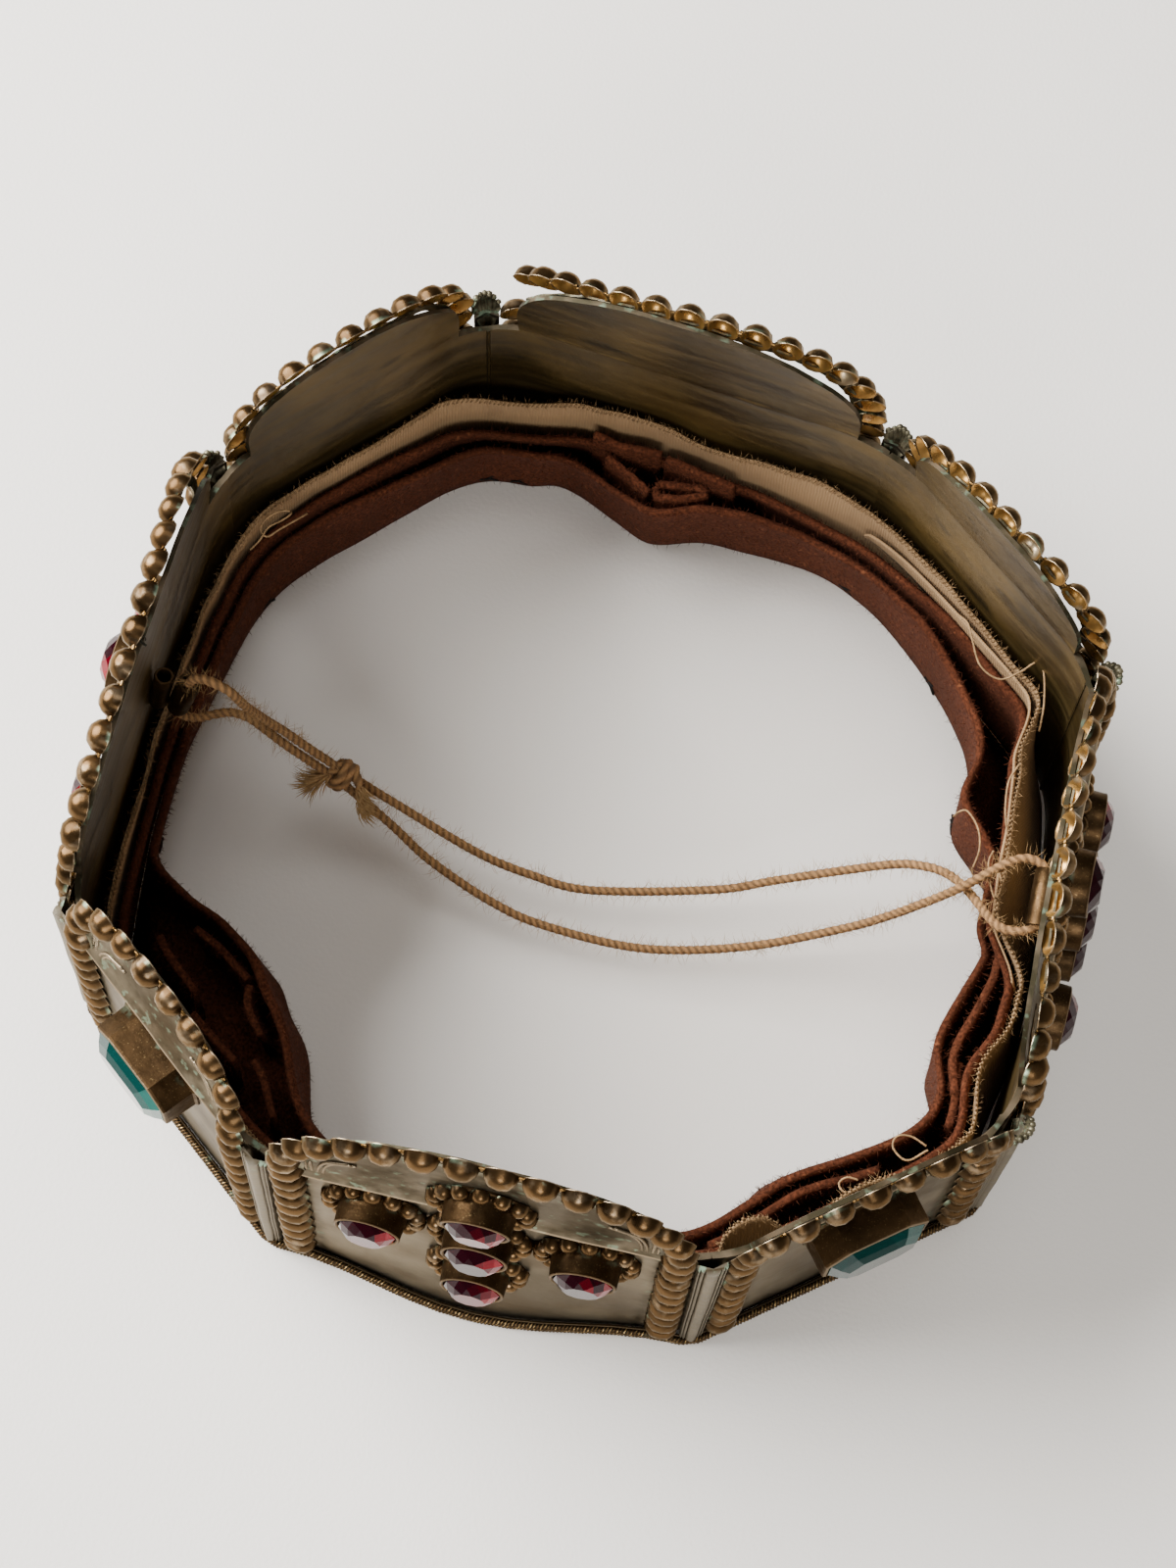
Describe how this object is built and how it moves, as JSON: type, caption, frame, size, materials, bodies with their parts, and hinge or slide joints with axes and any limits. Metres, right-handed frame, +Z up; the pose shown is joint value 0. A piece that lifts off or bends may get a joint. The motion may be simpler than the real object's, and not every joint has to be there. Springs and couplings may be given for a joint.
{
  "type": "costume crown",
  "caption": "Octagonal brass stage crown: arched plates with bead borders and set red and green stones, open in the middle, lined with felt and linen, with a loop of twine across.",
  "frame": {"origin": "middle of the crown's foot, on the surface it stands on", "axes": "+Z up through the open top, front plate facing -Y"},
  "size_m": [0.2324, 0.2266, 0.1172],
  "materials": {
    "plate_brass": "silvered and worn, satin",
    "bead_brass": "dark bronze patina, satin",
    "post_brass": "silvered, satin",
    "moulding_brass": "dark bronze patina",
    "red_glass": "faceted, polished",
    "green_glass": "faceted, polished",
    "linen": "plain weave, frayed edge",
    "felt": "matte felt",
    "jute": "twisted, hairy"
  },
  "bodies": {
    "root": {"base_moulding": "moulding_brass", "bead_border_back": "bead_brass", "bead_border_back_left": "bead_brass", "bead_border_back_right": "bead_brass", "bead_border_front": "bead_brass", "bead_border_front_left": "bead_brass", "bead_border_front_right": "bead_brass", "bead_border_left": "bead_brass", "bead_border_right": "bead_brass", "bead_column_back": "bead_brass", "corner_post_1": "post_brass", "corner_post_2": "post_brass", "corner_post_3": "post_brass", "corner_post_4": "post_brass", "corner_post_5": "post_brass", "corner_post_6": "post_brass", "corner_post_7": "post_brass", "corner_post_8": "post_brass", "felt_inner": "felt", "felt_outer": "felt", "felt_wad_back": "felt", "felt_wad_front_left": "felt", "felt_wad_front_right": "felt", "felt_wad_right": "felt", "green_stone_back_left": "green_glass", "green_stone_back_right": "green_glass", "green_stone_front_left": "green_glass", "green_stone_front_right": "green_glass", "linen_band": "linen", "panel_back": "plate_brass", "panel_back_left": "plate_brass", "panel_back_right": "plate_brass", "panel_front": "plate_brass", "panel_front_left": "plate_brass", "panel_front_right": "plate_brass", "panel_left": "plate_brass", "panel_right": "plate_brass", "red_stone_back_bottom": "red_glass", "red_stone_back_centre": "red_glass", "red_stone_back_left": "red_glass", "red_stone_back_right": "red_glass", "red_stone_back_top": "red_glass", "red_stone_front_bottom": "red_glass", "red_stone_front_centre": "red_glass", "red_stone_front_left": "red_glass", "red_stone_front_right": "red_glass", "red_stone_front_top": "red_glass", "red_stone_left_bottom": "red_glass", "red_stone_left_centre": "red_glass", "red_stone_left_left": "red_glass", "red_stone_left_right": "red_glass", "red_stone_left_top": "red_glass", "red_stone_right_bottom": "red_glass", "red_stone_right_centre": "red_glass", "red_stone_right_left": "red_glass", "red_stone_right_right": "red_glass", "red_stone_right_top": "red_glass", "twine_knot": "jute", "twine_lower": "jute", "twine_upper": "jute"}
  },
  "joints": []
}
